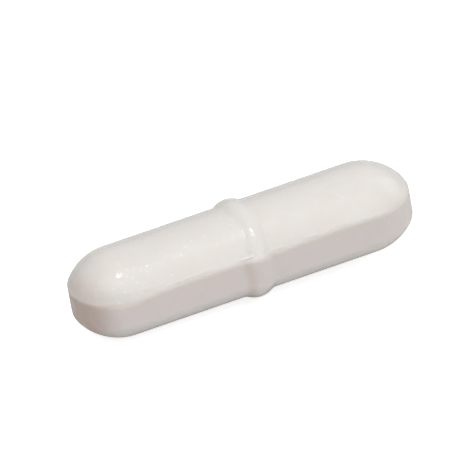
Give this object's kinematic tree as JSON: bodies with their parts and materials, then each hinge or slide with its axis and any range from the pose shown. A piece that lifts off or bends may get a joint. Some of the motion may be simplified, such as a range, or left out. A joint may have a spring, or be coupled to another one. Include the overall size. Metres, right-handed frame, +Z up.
{
  "type": "magnetic stir bar",
  "caption": "Magnetic stir bar: a rod magnet sealed in a smooth white PTFE jacket with rounded ends and a pivot ring round its middle, lying at rest.",
  "frame": {"origin": "on the surface that the bar lies on, below the middle of its length", "axes": "+X along the bar towards its raised end, +Y across it, +Z up; the bar's own axis is tipped 1.99 degrees about Y, as it lies on its ring and its lower end"},
  "size_m": [0.025, 0.0076, 0.0068],
  "materials": {
    "ptfe": "moulded PTFE, warm off-white, satin and slightly waxy",
    "magnet_metal": "ground aluminium-nickel-cobalt magnet alloy, bare"
  },
  "bodies": {
    "root": {"ptfe_jacket": "ptfe", "rod_magnet": "magnet_metal"}
  },
  "joints": []
}
